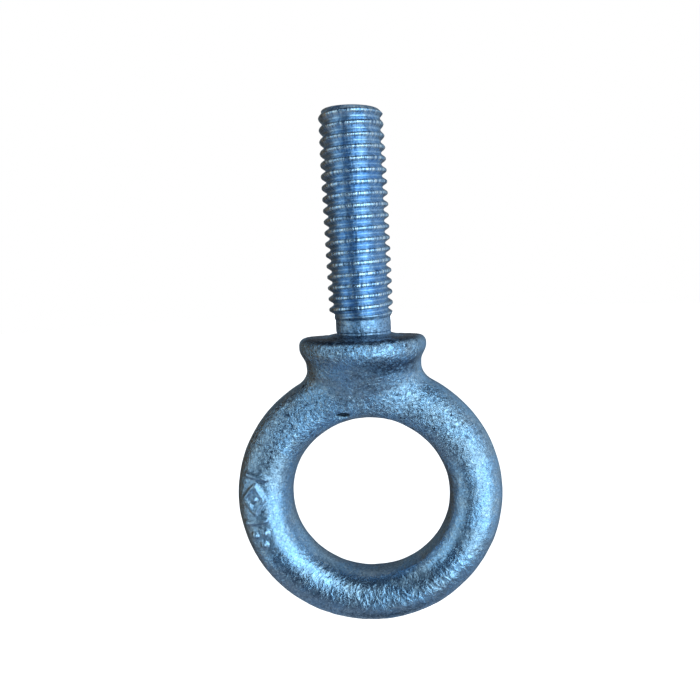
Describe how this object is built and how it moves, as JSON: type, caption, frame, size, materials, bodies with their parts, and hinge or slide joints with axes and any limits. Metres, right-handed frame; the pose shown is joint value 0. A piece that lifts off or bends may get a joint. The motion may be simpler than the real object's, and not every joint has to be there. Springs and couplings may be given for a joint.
{
  "type": "eye bolt",
  "caption": "Forged shoulder eye bolt: a round lifting eye under a flat-seated collar, with a rolled coarse thread on its shank.",
  "frame": {"origin": "centre of the shoulder's flat seat, on the shank's axis", "axes": "+Z along the shank towards its free end; the eye hangs below the seat in the XZ plane, and a load pin passes through it along Y"},
  "size_m": [0.0412, 0.019, 0.078],
  "materials": {
    "forging": "blue-bright zinc plate over fine as-forged grain, smooth where the flash was trimmed",
    "rolled_thread": "blue-bright zinc plate over a rolled thread"
  },
  "bodies": {
    "root": {"threaded_shank": "rolled_thread", "shoulder_collar": "forging", "eye_ring": "forging"}
  },
  "joints": []
}
